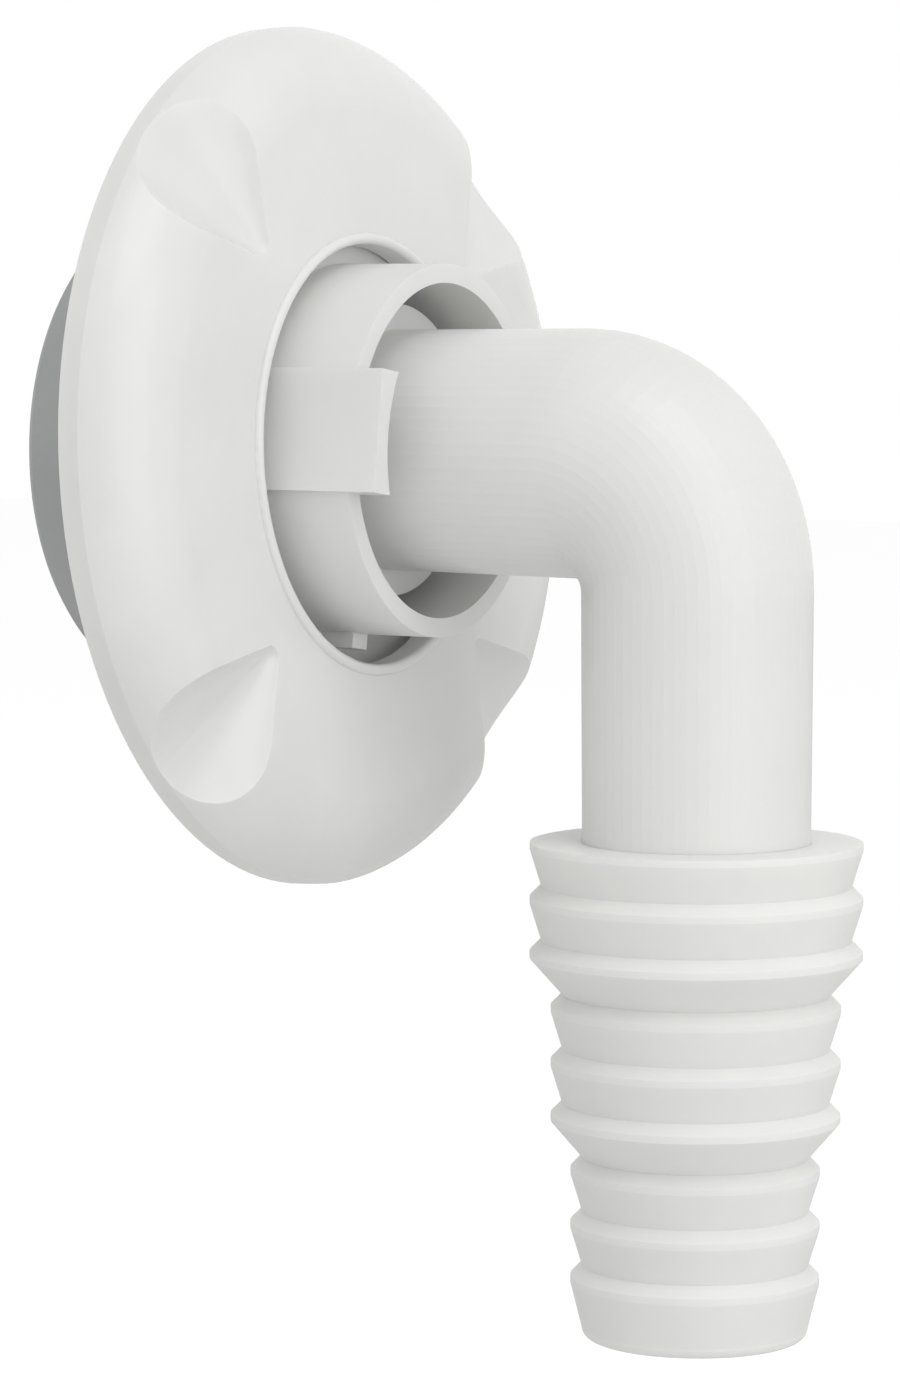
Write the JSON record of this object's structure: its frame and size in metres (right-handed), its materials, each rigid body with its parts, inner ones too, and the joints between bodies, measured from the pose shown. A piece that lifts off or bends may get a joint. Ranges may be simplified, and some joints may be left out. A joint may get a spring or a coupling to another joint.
{
  "type": "washing machine drain adapter",
  "caption": "Swivelling elbow with a stepped hose tail in a ribbed collar, with a rubber seal and a captive lobed hand nut, joining a drain hose to a waste spigot.",
  "frame": {"origin": "on the plug axis, in the plane where the seal's lip meets the end of the waste spigot", "axes": "+X from the wall to the elbow's bend, -X into the spigot, -Z down the falling leg and the hose tail, Y across"},
  "size_m": [0.0684, 0.075, 0.1117],
  "materials": {
    "white_gloss": "glossy moulded",
    "white_collar": "satin moulded",
    "seal_rubber": "matte",
    "white_elbow": "glossy moulded",
    "ring_rubber": "matte",
    "milky_tail": "matte, slightly milky"
  },
  "bodies": {
    "collar": {"grip_collar": "white_collar", "wall_seal": "seal_rubber"},
    "nut": {"lobed_nut": "white_gloss"},
    "elbow": {"elbow": "white_elbow", "elbow_ring": "ring_rubber", "hose_tail": "milky_tail"}
  },
  "joints": [
    {"name": "nut_turn", "type": "hinge", "parent": "collar", "child": "nut", "pos_m": [0.00002, 0, -0.0008], "axis": [0.9986, 0, 0.0523], "continuous": true},
    {"name": "elbow_swivel", "type": "hinge", "parent": "collar", "child": "elbow", "pos_m": [0, 0, 0], "axis": [1, 0, 0], "continuous": true}
  ]
}
